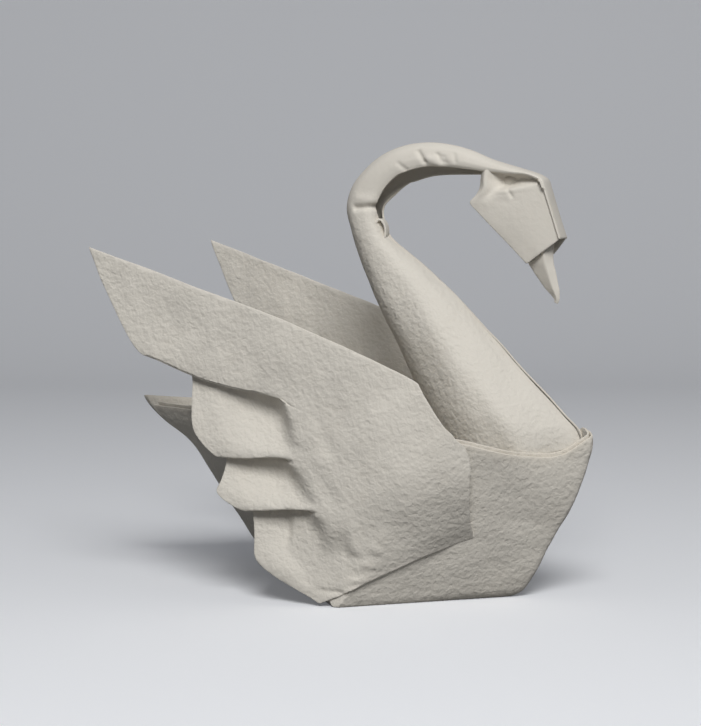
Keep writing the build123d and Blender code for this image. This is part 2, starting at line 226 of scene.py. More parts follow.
def dent(x: Array, z: Array, start: Point, end: Point, radius: float) -> Array:
    """Soft trough along a line seen from the side: e^-(distance to the line / radius)^2.

    Args:
        x: Places along the swan.
        z: Heights there.
        start: The line's start, as x and z.
        end: The line's end.
        radius: Distance at which the trough has faded to about a third.

    Returns:
        Share of the trough's depth at each place.
    """
    low, run = np.array(start), np.array(end) - np.array(start)
    place = np.stack([x, z], -1) - low
    share = np.clip(place @ run / max(run @ run, 1e-9), 0, 1)
    gap = np.linalg.norm(place - share[..., None] * run, axis=-1)
    return np.exp(-((gap / radius) ** 2))


# Meshes


@dataclass
class Paper:
    """A piece of the sheet as a grid of points on its outer face, with what the finish needs to know."""

    name: str
    points: Array
    thickness: Any = 0.45
    ends: Ends = Ends.SHEET
    inwards: float = 1.0
    worn: Any = 0.0
    burnished: Any = 0.0

    def columns(self) -> Tuple[Array, Array, Array, Array]:
        """Both faces of the sheet: the inner one lies a thickness in, along the normal.

        Returns:
            Outer points, inner points, unit vectors that point out, and the thickness at each point.
        """
        normal = squares(self.points, self.ends != Ends.SHEET) * self.inwards
        thick = np.broadcast_to(np.asarray(self.thickness, float), self.points.shape[:2])
        return self.points, self.points + normal * thick[..., None], -normal, thick

    def borders(self, count: int, width: int) -> List[Tuple[Array, Array]]:
        """Finds the open borders.

        Args:
            count: Points along the grid's first axis.
            width: Points along its second axis.

        Returns:
            For each border, its grid indices in order and the indices one step inside it.
        """
        index = np.arange(count * width).reshape(count, width)
        if self.ends == Ends.POD:
            return []
        if self.ends == Ends.CUP:
            return [(index[::-1, -1], index[::-1, -2])]
        if self.ends == Ends.RING:
            return [(index[:, 0], index[:, 1]), (index[::-1, -1], index[::-1, -2])]
        loop = np.concatenate([index[:-1, 0], index[-1, :-1], index[:0:-1, -1], index[0, :0:-1]])
        inside = np.concatenate([index[:-1, 1], index[-2, :-1], index[:0:-1, -2], index[1, :0:-1]])
        return [(loop, inside)]

    def build(self) -> bpy.types.Object:
        """Closed mesh: outer face, inner face and a half-round edge along each open border.

        Returns:
            The object, in metres, with its worn and burnished values.
        """
        outer, inner, normal, thick = self.columns()
        count, width = outer.shape[:2]
        closed = self.ends != Ends.SHEET
        cells_u, cells_v = np.meshgrid(np.arange(count - (not closed)), np.arange(width - 1), indexing="ij")
        corner_u = np.stack([cells_u, cells_u + 1, cells_u + 1, cells_u], -1).reshape(-1, 4)
        corner_v = np.stack([cells_v, cells_v, cells_v + 1, cells_v + 1], -1).reshape(-1, 4)
        quads = (corner_u % count) * width + corner_v
        faces = [quads]
        points = [outer.reshape(-1, 3)]
        values = [np.broadcast_to(item, (count, width)).reshape(-1) for item in (self.worn, self.burnished)]
        source = [np.arange(count * width)]
        if self.ends != Ends.POD:
            points.append(inner.reshape(-1, 3))
            source.append(np.arange(count * width))
            faces.append(quads[:, ::-1] + count * width)
        total = sum(len(item) for item in points)
        middle, half = (outer + inner).reshape(-1, 3) / 2, thick.reshape(-1, 1) / 2
        for loop, inside in self.borders(count, width):
            out = unit(outer.reshape(-1, 3)[loop] - outer.reshape(-1, 3)[inside])
            square = normal.reshape(-1, 3)[loop]
            rows = [loop]
            for angle in EDGE_ANGLES:
                swing = math.cos(angle) * square + math.sin(angle) * out
                points.append(middle[loop] + half[loop] * swing)
                source.append(loop)
                rows.append(total + np.arange(len(loop)))
                total += len(loop)
            rows.append(loop + count * width)
            for first, second in zip(rows, rows[1:]):
                ahead_first, ahead_second = np.roll(first, -1), np.roll(second, -1)
                faces.append(np.stack([ahead_first, first, second, ahead_second], -1))
        origin = np.concatenate(source)
        attributes = {"worn": values[0][origin], "burnished": values[1][origin]}
        return solid_mesh(self.name, np.concatenate(points), np.concatenate(faces), attributes)


def solid_mesh(name: str, points: Array, faces: Array, values: Dict[str, Array]) -> bpy.types.Object:
    """Mesh object from whole arrays, with its faces turned outwards.

    Args:
        name: Name of the piece.
        points: Places in millimetres, one row for each vertex.
        faces: Four vertex numbers for each face.
        values: Named numbers for each vertex.

    Returns:
        The linked object. Six times its volume's sign tells whether the faces have to be turned.
    """
    a, b, c, d = (points[faces[:, k]] for k in range(4))
    volume = (np.cross(b - a, c - a) * a).sum() + (np.cross(c - a, d - a) * a).sum()
    if volume < 0:
        faces = faces[:, ::-1]
    mesh = bpy.data.meshes.new(name)
    mesh.vertices.add(len(points))
    mesh.vertices.foreach_set("co", (points * MM).astype(np.float32).ravel())
    mesh.loops.add(faces.size)
    mesh.loops.foreach_set("vertex_index", faces.astype(np.int32).ravel())
    mesh.polygons.add(len(faces))
    mesh.polygons.foreach_set("loop_start", np.arange(0, faces.size, 4, dtype=np.int32))
    mesh.update(calc_edges=True)
    for key, numbers in values.items():
        attribute = mesh.attributes.new(key, "FLOAT", "POINT")
        attribute.data.foreach_set("value", numbers.astype(np.float32))
    mesh.validate()
    mesh.shade_smooth()
    piece = bpy.data.objects.new(name, mesh)
    bpy.context.scene.collection.objects.link(piece)
    merge_poles(piece)
    return piece


def merge_poles(piece: bpy.types.Object) -> None:
    """Joins vertices that lie in one place, so that poles are closed.

    Args:
        piece: The object whose mesh is joined.
    """
    shape = bmesh.new()
    shape.from_mesh(piece.data)
    bmesh.ops.remove_doubles(shape, verts=shape.verts, dist=MERGE)
    shape.to_mesh(piece.data)
    shape.free()


# Finish


class Number:
    """A number on a shader socket. Arithmetic on it adds Math nodes."""

    def __init__(self, paint: "NodePaint", socket: Any) -> None:
        """Keeps the socket and the tree that it is in."""
        self.paint = paint
        self.socket = socket

    def math(self, operation: str, *values: Any) -> "Number":
        """One Math node on these values."""
        settings = {"operation": operation}
        return self.paint.node("ShaderNodeMath", settings, dict(enumerate(values)))

    def __add__(self, other: Any) -> "Number":
        """Sum."""
        return self.math("ADD", self, other)

    def __radd__(self, other: Any) -> "Number":
        """Sum, with the number first."""
        return self.math("ADD", other, self)

    def __sub__(self, other: Any) -> "Number":
        """Difference."""
        return self.math("SUBTRACT", self, other)

    def __rsub__(self, other: Any) -> "Number":
        """Difference, with the number first."""
        return self.math("SUBTRACT", other, self)

    def __mul__(self, other: Any) -> "Number":
        """Product."""
        return self.math("MULTIPLY", self, other)

    def __rmul__(self, other: Any) -> "Number":
        """Product, with the number first."""
        return self.math("MULTIPLY", other, self)

    def clamped(self) -> "Number":
        """Held between 0 and 1."""
        return self.math("MAXIMUM", self.math("MINIMUM", self, 1.0), 0.0)


class NodePaint:
    """Node tree of one material."""

    def __init__(self, name: str) -> None:
        """Makes the material with an empty tree."""
        self.material = bpy.data.materials.new(name)
        self.material.use_nodes = True
        self.tree = self.material.node_tree
        self.tree.nodes.clear()

    def node(
        self,
        kind: str,
        settings: Optional[Dict[str, Any]] = None,
        inputs: Optional[Dict[Any, Any]] = None,
        output: Any = 0,
    ) -> Number:
        """Adds a node.

        Args:
            kind: The node's type.
            settings: Its own settings, set first.
            inputs: Values or links by socket name or number.
            output: Name or number of the socket that is wanted.

        Returns:
            That output socket.
        """
        made = self.tree.nodes.new(kind)
        for key, value in (settings or {}).items():
            setattr(made, key, value)
        for key, value in (inputs or {}).items():
            if isinstance(value, Number):
                self.tree.links.new(value.socket, made.inputs[key])
            else:
                made.inputs[key].default_value = value
        return Number(self, made.outputs[output])

    def mixed(self, low: Any, high: Any, share: Any) -> Number:
        """Colour at a share of the way between two colours."""
        settings = {"data_type": "RGBA"}
        return self.node("ShaderNodeMix", settings, {0: share, 6: low, 7: high}, 2)

    def finished(self, shader: Number) -> bpy.types.Material:
        """Ends the tree.

        Args:
            shader: The shader of the surface.

        Returns:
            The finished material.
        """
        end = self.tree.nodes.new("ShaderNodeOutputMaterial")
        self.tree.links.new(shader.socket, end.inputs["Surface"])
        return self.material


@dataclass(frozen=True)
class PaperFinish:
    """Thick off-white paper with a pebbly grain, smoother where it has been pressed and rolled."""

    colour: Colour = (0.73, 0.69, 0.615, 1.0)
    warm: Colour = (0.66, 0.59, 0.485, 1.0)
    roughness: float = 0.86
    specular: float = 0.25
    sheen: float = 0.08
    sheen_roughness: float = 0.6
    # Sizes and heights of the grain and its fibres, and the size of soft clouds, in millimetres
    grain: float = 1.15
    grain_height: float = 0.28
    fibre: float = 0.32
    fibre_height: float = 0.05
    cloud: float = 9.0
    # Share of the relief that pressing takes away, and how much wear, clouds and grain warm the colour
    pressed: float = 0.82
    worn_warmth: float = 0.3
    cloud_warmth: float = 0.3
    grain_warmth: float = 0.25

    def noise(self, paint: NodePaint, size: float, detail: float, distortion: float) -> Number:
        """Noise in the object's own coordinates.

        Args:
            paint: The tree that it goes into.
            size: Rough size of its features, in millimetres.
            detail: Octaves of finer noise.
            distortion: How far its lines wander.

        Returns:
            The noise, about a half on the whole.
        """
        place = paint.node("ShaderNodeTexCoord", None, None, "Object")
        inputs = {"Vector": place, "Scale": 1.0 / (size * MM), "Detail": detail, "Distortion": distortion}
        return paint.node("ShaderNodeTexNoise", None, inputs, "Fac")

    def material(self) -> bpy.types.Material:
        """Principled paper: colour warms at worn folds, and two noises raise its grain.

        Returns:
            The material.
        """
        paint = NodePaint("paper")
        worn = paint.node("ShaderNodeAttribute", {"attribute_name": "worn"}, None, "Fac")
        burnished = paint.node("ShaderNodeAttribute", {"attribute_name": "burnished"}, None, "Fac")
        grain = self.noise(paint, self.grain, 1.5, 0.25)
        fibre = self.noise(paint, self.fibre, 1.0, 0.2)
        cloud = self.noise(paint, self.cloud, 2.0, 0.0)
        height = (self.grain_height * grain + self.fibre_height * fibre) * (1.0 - self.pressed * burnished)
        relief = {"Strength": 1.0, "Distance": MM, "Height": height}
        bump = paint.node("ShaderNodeBump", None, relief, "Normal")
        uneven = self.cloud_warmth * (cloud - 0.5)
        tint = (self.worn_warmth * worn + uneven + self.grain_warmth * (0.5 - grain)).clamped()
        look = {
            "Base Color": paint.mixed(self.colour, self.warm, tint),
            "Normal": bump,
            "Roughness": self.roughness,
            "Specular IOR Level": self.specular,
            "Sheen Weight": self.sheen,
            "Sheen Roughness": self.sheen_roughness,
        }
        return paint.finished(paint.node("ShaderNodeBsdfPrincipled", None, look, "BSDF"))


@dataclass(frozen=True)
class PlainFinish:
    """Flat matt paint for the floor and the backdrop, paler to the camera than in the light it returns."""

    name: str = "backdrop"
    colour: Colour = (0.22, 0.22, 0.22, 1.0)
    seen: Colour = (0.84, 0.85, 0.87, 1.0)
    glow: Colour = (0.10, 0.103, 0.11, 1.0)
    unlit: Colour = (0.0, 0.0, 0.0, 1.0)
    roughness: float = 0.9
    specular: float = 0.1

    def material(self) -> bpy.types.Material:
        """Principled paint that is pale where the camera looks straight at it.

        Returns:
            The material.
        """
        paint = NodePaint(self.name)
        camera = paint.node("ShaderNodeLightPath", None, None, "Is Camera Ray")
        inputs = {
            "Base Color": paint.mixed(self.colour, self.seen, camera),
            "Emission Color": paint.mixed(self.unlit, self.glow, camera),
            "Emission Strength": 1.0,
            "Roughness": self.roughness,
            "Specular IOR Level": self.specular,
        }
        return paint.finished(paint.node("ShaderNodeBsdfPrincipled", None, inputs, "BSDF"))


# The swan


@dataclass
class Body:
    """Open boat on a kite-shaped base, with walls of two layers that part at the rim."""

    ply: float = 0.45
    ply_gap: float = 0.3
    rim_step: float = 0.55
    # How much higher the left rim stands: behind a place at the tail, and round a place at the bow
    far_tail_lift: float = 1.3
    far_tail_x: float = -24.0
    far_tail_run: float = 12.0
    far_bow_lift: float = 2.8
    far_bow_x: float = 43.4
    far_bow_reach: float = 1.9
    # Rough lengths of the sides from the bow round the right side, and the steps along them
    sides: Tuple[float, ...] = (33.0, 49.0, 27.0, 15.0, 15.0, 27.0, 49.0, 33.0)
    spacing: float = 0.9
    floor_rows: int = 15
    wall_rows: int = 64
    first_row: float = 0.008
    usual_height: float = 36.0
    rounds: int = 12
    soft_passes: int = 2
    # Unevenness of the walls, and the height where it has its full depth
    waves: Waves = ((16.0, 0.28, 3), (6.0, 0.07, 4))
    waves_from: float = 5.0
    # Rows at the rim over which wear fades
    wear_rows: float = 2.0
    # Bow's front and tail's rear: height and x
    bow: Table = (
        (0.0, 29.0), (0.6, 30.6), (1.7, 31.9), (3.2, 33.0), (10.5, 37.0), (16.9, 40.5), (22.4, 43.4),
        (26.6, 45.0), (31.0, 45.9), (34.4, 46.2), (36.5, 46.1), (41.0, 45.9),
    )
    tail: Table = (
        (0.0, -24.0), (8.2, -32.5), (13.0, -36.4), (17.6, -39.8), (23.7, -43.9), (27.5, -46.7),
        (30.5, -49.5), (32.8, -52.5), (34.5, -55.3), (37.6, -59.2), (41.0, -61.5),
    )
    # Height, then x and half width of the front fold, rear fold and tail's root
    folds: Table = (
        (0.0, -1.5, 25.6, -2.7, 25.6, -12.4, 13.0),
        (8.1, 4.5, 24.8, -7.2, 24.8, -22.0, 9.3),
        (20.4, 12.2, 24.0, -15.5, 24.0, -35.0, 5.5),
        (29.6, 17.4, 23.4, -22.0, 23.4, -41.0, 4.7),
        (34.4, 20.1, 23.1, -25.4, 23.1, -44.6, 4.3),
        (41.0, 23.8, 22.8, -30.2, 22.8, -49.0, 4.0),
    )
    # Height of the rim: x and z
    rim: Table = (
        (-62.0, 38.2), (-58.0, 37.9), (-50.0, 37.5), (-40.0, 37.2), (-27.5, 37.0), (0.0, 36.7), (16.0, 36.3),
        (20.0, 35.8), (24.0, 34.8), (29.1, 33.1), (33.0, 31.9), (36.5, 31.3), (39.7, 31.3), (42.0, 32.2),
        (43.9, 34.0), (45.6, 35.2), (47.0, 35.4),
    )

    def corners(self, z: Array) -> Array:
        """The eight corners at each height, from the bow round the right side.

        Args:
            z: Heights, of any shape.

        Returns:
            Their x and y, with the shape of z followed by 8 and 2.
        """
        bow = spline(*zip(*self.bow), z)
        tail = spline(*zip(*self.tail), z)
        folds = spline([row[0] for row in self.folds], [row[1:] for row in self.folds], z)
        nothing = np.zeros_like(bow)
        right = [(folds[..., k], -folds[..., k + 1]) for k in (0, 2, 4)]
        left = [(x, -y) for x, y in reversed(right)]
        places = [(bow, nothing), *right, (tail, nothing), *left]
        return np.stack([np.stack(place, -1) for place in places], -2)

    def front_wall(self, x: Array, z: Array) -> Array:
        """Half width of the front walls: a straight run from the bow back to the front fold.

        Args:
            x: Places along the swan.
            z: Heights there.

        Returns:
            The distance from the middle at each place.
        """
        corners = self.corners(z)
        share = (corners[..., 0, 0] - x) / (corners[..., 0, 0] - corners[..., 1, 0])
        return -corners[..., 1, 1] * share

    def steps(self) -> Array:
        """Places round the wall, as a corner's number and a share of the way to the next one."""
        counts = [int(side / self.spacing) for side in self.sides]
        return np.concatenate([k + np.arange(count) / count for k, count in enumerate(counts)])

    def grid(self, lift: float) -> Array:
        """Outer face from the middle of the base, out to its edge and up to the rim.

        Round the wall each point is a share of the way between two corners at its height. The height
        is a share of the rim's own height there, found by turning height into x and back.

        Args:
            lift: How far the rim stands above its own height.

        Returns:
            Grid of points: places round the wall, rows out and up, 3.
        """
        place = self.steps()
        side, share = place.astype(int), (place % 1.0)[:, None]
        ahead = (side + 1) % len(self.sides)
        left = (side >= len(self.sides) // 2)[:, None]
        base = self.corners(np.zeros(1))[0]
        edge = between(base[side], base[ahead], share)
        reach = np.sin(np.linspace(0, math.pi / 2, self.floor_rows + 1))[None, :-1, None]
        floor = np.concatenate([edge[:, None, :] * reach, np.zeros((len(place), self.floor_rows, 1))], -1)
        climb = np.concatenate([[0.0], np.linspace(self.first_row, 1.0, self.wall_rows)])[None, :]
        height = climb * np.full((len(place), 1), self.usual_height)
        row = np.arange(len(place))[:, None]
        column = np.arange(climb.shape[1])[None, :]
        for _ in range(self.rounds):
            corners = self.corners(height)
            near, far = corners[row, column, side[:, None]], corners[row, column, ahead[:, None]]
            wall = between(near, far, share[:, None, :])
            rim_x = wall[:, -1:, 0]
            behind = eased((self.far_tail_x - rim_x) / self.far_tail_run)
            bow = np.exp(-(((rim_x - self.far_bow_x) / self.far_bow_reach) ** 2))
            top = spline(*zip(*self.rim), rim_x) + lift
            top = top + left * self.far_tail_lift * behind
            top = top + left * self.far_bow_lift * bow
            height = climb * top
        wall = np.concatenate([wall, height[..., None]], -1)
        return np.concatenate([floor, wall], 1)

    def shaped(self, lift: float, sink: float) -> Array:
        """Grid with soft folds and the unevenness of paper.

        Args:
            lift: How far the rim stands above its own height.
            sink: How far the face is drawn in.

        Returns:
            Grid of points.
        """
        points = softened(self.grid(lift), self.soft_passes, 0, True)
        points = softened(points, self.soft_passes, 1)
        inwards = squares(points, True)
        wave = unevenness(points, self.waves)
        rise = eased(points[..., 2] / self.waves_from)
        points = points + inwards * (sink + wave * rise)[..., None]
        points[..., 2] = np.maximum(points[..., 2], 0.0)
        return points

    def worn(self, points: Array) -> Array:
        """Wear along the rim: e^-(rows below it / rows that wear)."""
        rows = np.arange(points.shape[1])[::-1]
        return np.broadcast_to(np.exp(-rows / self.wear_rows), points.shape[:2])

    def build(self) -> List[bpy.types.Object]:
        """Outer layer with the base, and the inner layer, which has none and stands a little higher.

        Returns:
            Both layers.
        """
        outer = self.shaped(0.0, 0.0)
        inner = self.shaped(self.rim_step, self.ply + self.ply_gap)[:, self.floor_rows + 2 :]
        return [
            Paper("body_outer_layer", outer, self.ply, Ends.CUP, worn=self.worn(outer)).build(),
            Paper("body_inner_layer", inner, self.ply, Ends.RING, worn=self.worn(inner)).build(),
        ]


@dataclass
class Neck:
    """Cone of paper closed round its front, which turns into a hooped channel open below."""

    ply: float = 0.45
    # Each section: back x, z and front x, z, then half width, half gap at the front, width near the
    # front as a share of the half width, and how far the left edge hangs below the right one
    sections: Table = (
        (17.3, 21.0, 40.4, 22.4, 7.2, 1.1, 0.46, 0.0),
        (13.2, 31.6, 43.4, 33.9, 9.4, 1.2, 0.42, 0.0),
        (8.5, 41.5, 39.5, 40.2, 10.0, 1.3, 0.50, 0.0),
        (4.5, 49.1, 30.5, 49.2, 8.8, 1.1, 0.56, 0.0),
        (0.0, 58.0, 19.6, 60.3, 7.0, 0.35, 0.64, 0.0),
        (-4.0, 66.0, 11.5, 68.2, 5.6, 0.2, 0.70, 0.0),
        (-6.8, 72.5, 4.5, 73.7, 4.5, 0.25, 0.76, 0.0),
        (-8.9, 78.5, -0.5, 78.2, 3.7, 0.7, 0.84, 0.2),
        (-9.7, 83.5, -2.2, 83.1, 3.3, 2.1, 0.95, 0.4),
        (-8.3, 88.0, -0.8, 86.5, 3.2, 2.7, 0.98, 1.5),
        (-4.1, 92.9, 1.7, 89.5, 3.1, 2.7, 0.98, 2.0),
        (1.5, 96.0, 4.0, 90.9, 3.0, 2.7, 0.98, 2.1),
        (10.2, 97.3, 10.0, 92.2, 3.0, 2.6, 0.98, 2.0),
        (18.0, 95.9, 16.8, 91.9, 2.9, 2.5, 0.98, 1.5),
        (24.6, 93.4, 23.6, 90.9, 2.85, 2.55, 0.98, 0.5),
        (29.4, 91.9, 28.9, 90.4, 2.95, 2.75, 0.99, 0.0),
        (32.0, 91.1, 31.6, 90.3, 3.0, 2.9, 0.99, 0.0),
        (34.0, 90.4, 33.5, 89.75, 3.05, 3.0, 1.0, 0.2),
        (35.5, 89.4, 35.0, 88.95, 3.05, 3.0, 1.0, 0.3),
        (36.2, 87.6, 35.6, 87.4, 3.05, 3.0, 1.0, 0.3),
        (37.3, 84.0, 36.75, 83.85, 3.0, 2.95, 1.0, 0.3),
        (39.5, 77.2, 39.0, 77.05, 3.0, 2.95, 1.0, 0.3),
    )
    # Places round a section as shares of its depth, and its width at the back as a share of the half
    depths: Tuple[float, ...] = (1.0, 0.85, 0.6, 0.22, 0.0, 0.22, 0.6, 0.85, 1.0)
    back_share: float = 0.75
    steps_along: int = 300
    steps_around: int = 110
    waves: Waves = ((13.0, 0.16, 11), (5.0, 0.05, 12))
    # Shares of the length where the waves calm down and where the paper gets smooth, and over what run
    calm_from: float = 0.45
    calm_run: float = 0.1
    calm_share: float = 0.5
    smooth_from: float = 0.42
    smooth_run: float = 0.16
    worn_share: float = 0.04
    # The creases are on the right, and fade towards the back by this rate
    near_rate: float = 2.5
    # Curl: centre x, y, z, radii in x and z, tilts of both, half width, sway and thickness
    curl_centre: Tuple[float, float, float] = (-1.2, -1.3, 78.4)
    curl_radii: Point = (1.35, 2.5)
    curl_tilts: Point = (0.35, 0.3)
    curl_half: float = 0.9
    curl_sway: float = 0.2
    curl_ply: float = 0.5
    # Creases where the hoop was bent, seen from the side
    creases: Dents = (
        ((-6.6, 83.2), (-1.7, 83.5), 0.55, 0.75),
        ((-6.0, 85.2), (-2.2, 84.8), 1.0, -0.25),
        ((7.6, 95.4), (9.2, 93.0), 0.45, 0.55),
        ((10.0, 93.8), (12.4, 92.6), 0.9, -0.35),
        ((12.1, 94.7), (13.2, 93.0), 0.4, 0.4),
        ((13.5, 94.2), (14.1, 92.9), 0.35, 0.25),
        ((15.7, 94.8), (16.1, 93.2), 0.4, 0.3),
        ((3.3, 92.7), (4.9, 91.5), 0.5, 0.25),
    )

    def lines(self) -> Array:
        """Nine points of every section.

        A point is the section's back, plus its share of the way to the front, plus its half width.

        Returns:
            Grid of points: sections, 9, 3.
        """
        table = np.array(self.sections)
        back, front = table[:, [0, 1]], table[:, [2, 3]]
        half, gap, near_front, hang = table[:, 4], table[:, 5], table[:, 6], table[:, 7]
        widths = np.stack([gap, near_front * half, half, self.back_share * half, 0 * half], 1)
        widths = np.concatenate([-widths[:, :4], widths[:, ::-1]], 1)
        depth = np.linalg.norm(front - back, axis=1)
        across = (front - back) / depth[:, None]
        longer = np.stack([depth] * 5 + [depth + hang] * 4, 1) * np.array(self.depths)
        side = back[:, None, :] + across[:, None, :] * longer[..., None]
        return np.stack([side[..., 0], widths, side[..., 1]], -1)

    def grid(self) -> Array:
        """Outer face: a smooth curve round each section, and smooth curves along the neck.

        Returns:
            Grid of points: steps around, steps along, 3.
        """
        lines = self.lines()
        middle = lines[:, 4]
        run = np.concatenate([[0], np.cumsum(np.linalg.norm(np.diff(middle, axis=0), axis=1))])
        along = spline(run, lines, np.linspace(0, run[-1], self.steps_along))
        around = np.linspace(0, 1, len(self.depths))
        return spline(around, np.moveaxis(along, 1, 0), np.linspace(0, 1, self.steps_around))

    def build(self) -> List[bpy.types.Object]:
        """Neck and hoop, creased where it was bent, with the small curl at the pinch.

        Returns:
            The neck and the curl.
        """
        points = self.grid()
        inwards = squares(points, False)
        share = np.linspace(0, 1, points.shape[1])[None, :]
        around = np.linspace(-1, 1, points.shape[0])[:, None]
        calm = eased((share - self.calm_from) / self.calm_run)
        depth = unevenness(points, self.waves) * (1 - self.calm_share * calm)
        near = eased(-around * self.near_rate)
        for start, end, radius, amount in self.creases:
            depth = depth + near * amount * dent(points[..., 0], points[..., 2], start, end, radius)
        points = points + inwards * depth[..., None]
        burnished = eased((share - self.smooth_from) / self.smooth_run) * np.ones_like(around)
        edge = np.exp(-((1 - np.abs(around)) / self.worn_share)) * np.ones_like(share)
        return [
            Paper("neck", points, self.ply, worn=edge, burnished=burnished).build(),
            self.curl(),
        ]

    def curl(self) -> bpy.types.Object:
        """Small curled loop of paper under the pinch: a flat ribbon carried round a tilted oval.

        Returns:
            The loop.
        """
        turn = np.linspace(0, 2 * math.pi, 48, endpoint=False)[:, None]
        width = np.linspace(-1, 1, 9)[None, :]
        middle_x, middle_y, middle_z = self.curl_centre
        x = middle_x + self.curl_radii[0] * np.cos(turn) - self.curl_tilts[0] * np.sin(turn) + 0 * width
        z = middle_z + self.curl_radii[1] * np.sin(turn) + self.curl_tilts[1] * np.cos(turn) + 0 * width
        y = middle_y + self.curl_half * width + self.curl_sway * np.cos(turn)
        loop = np.stack([x, y, z], -1)
        return Paper("neck_curl", loop, self.curl_ply, Ends.RING, burnished=1.0).build()


@dataclass
class Head:
    """Two side panels under the strip over crown and forehead, open at jaw and mouth, and the beak."""

    ply: float = 0.45
    # Rows of a panel from the crown to the mouth: rear x, z and front x, z, then half widths along it
    rows: Table = (
        (22.2, 92.0, 32.8, 90.2, 2.2, 2.6, 2.5, 2.2, 2.3, 2.4),
        (21.6, 91.0, 33.6, 89.9, 1.5, 2.9, 2.1, 0.9, 1.2, 2.3),
        (21.3, 89.4, 34.2, 89.4, 1.3, 3.1, 1.9, 0.2, 0.6, 2.2),
        (21.3, 87.6, 34.8, 89.0, 1.9, 3.2, 2.1, 0.5, 1.4, 2.4),
        (20.8, 86.2, 35.3, 88.3, 2.5, 3.25, 2.4, 2.75, 2.75, 2.55),
        (20.1, 85.3, 35.7, 86.9, 2.75, 3.1, 2.8, 2.98, 2.88, 2.6),
        (19.6, 84.3, 36.2, 85.3, 2.8, 3.0, 3.0, 2.95, 2.9, 2.65),
        (21.3, 82.4, 36.7, 83.4, 2.75, 2.85, 2.9, 2.95, 2.9, 2.65),
        (26.5, 77.2, 37.8, 80.0, 2.5, 2.65, 2.75, 2.85, 2.85, 2.65),
        (31.9, 71.8, 38.9, 76.9, 2.4, 2.5, 2.6, 2.75, 2.8, 2.65),
    )
    places: Tuple[float, ...] = (0.0, 0.1, 0.23, 0.38, 0.7, 1.0)
    steps_down: int = 110
    steps_along: int = 90
    waves: Waves = ((8.0, 0.1, 21),)
    panel_smooth: float = 0.85
    # How far the left panel's lower edge sags in its middle, and how suddenly
    far_drop: float = 1.4
    far_power: int = 6
    # Crease in the right panel: start, end, radius and depth
    crease: Tuple[Point, Point, float, float] = ((27.8, 87.2), (28.7, 85.8), 0.4, 0.25)
    # Beak by level: rear x, right fold x, front x, z and half thickness
    levels: Table = (
        (32.6, 35.2, 37.4, 76.5, 1.9),
        (31.9, 35.5, 37.2, 74.0, 2.0),
        (31.2, 35.8, 37.3, 71.9, 1.9),
        (32.3, 36.3, 37.8, 70.0, 1.65),
        (33.8, 36.8, 38.2, 68.0, 1.35),
        (35.2, 37.4, 38.6, 66.2, 1.0),
        (36.6, 37.9, 38.6, 64.8, 0.65),
        (37.3, 38.0, 38.45, 63.9, 0.42),
        (37.3, 37.7, 38.1, 63.3, 0.3),
    )
    beak_slant: float = 0.2
    beak_steps_down: int = 70
    beak_steps_side: int = 12
    beak_smooth: float = 0.9

    def panel(self, side: Side) -> Array:
        """One panel's outer face: a smooth curve down the rows and along each of them.

        Args:
            side: Side of the head.

        Returns:
            Grid of points: steps along, steps down, 3.
        """
        table = np.array(self.rows)
        down, along = np.linspace(0, 1, self.steps_down), np.linspace(0, 1, self.steps_along)
        table = spline(np.linspace(0, 1, len(table)), table, down)
        half = spline(self.places, table[:, 4:].T, along)
        x = between(table[None, :, 0], table[None, :, 2], along[:, None])
        z = between(table[None, :, 1], table[None, :, 3], along[:, None])
        if side == Side.LEFT:
            z = z - self.far_drop * down[None, :] ** self.far_power * np.sin(math.pi * along[:, None])
        depth = unevenness(np.stack([x, half, z], -1), self.waves)
        if side == Side.RIGHT:
            depth = depth + self.crease[3] * dent(x, z, *self.crease[:3])
        return np.stack([x, side.value * (half - depth), z], -1)

    def build(self) -> List[bpy.types.Object]:
        """Both panels and the beak.

        Returns:
            The three pieces.
        """
        pieces = []
        for side in Side:
            name = f"head_panel_{side.name.lower()}"
            look = {"inwards": -side.value, "burnished": self.panel_smooth}
            pieces.append(Paper(name, self.panel(side), self.ply, **look).build())
        return [*pieces, self.beak()]

    def beak(self) -> bpy.types.Object:
        """Strip folded lengthwise: four soft corners round each level, down to a curled tip.

        Returns:
            The beak, closed at both ends.
        """
        at = np.linspace(0, 1, self.beak_steps_down)
        knots = np.linspace(0, 1, len(self.levels))
        rear, fold, front, z, half = spline(knots, self.levels, at).T
        slant = self.beak_slant
        sides = [(rear, 0 * z, z + slant), (fold, -half, z), (front, 0 * z, z - slant), (fold, half, z)]
        corners = np.stack([np.stack(side, -1) for side in sides])
        turn = np.arange(len(sides) * self.beak_steps_side) / self.beak_steps_side
        cell = turn.astype(int)
        share = (turn % 1)[:, None, None]
        points = corners[cell] * (1 - share) + corners[(cell + 1) % len(sides)] * share
        points = softened(points, 2, 0, True)
        points[:, -1] = points[:, -1].mean(0)
        points[:, 0] = points[:, 0].mean(0)
        return Paper("beak", points, ends=Ends.POD, burnished=self.beak_smooth).build()


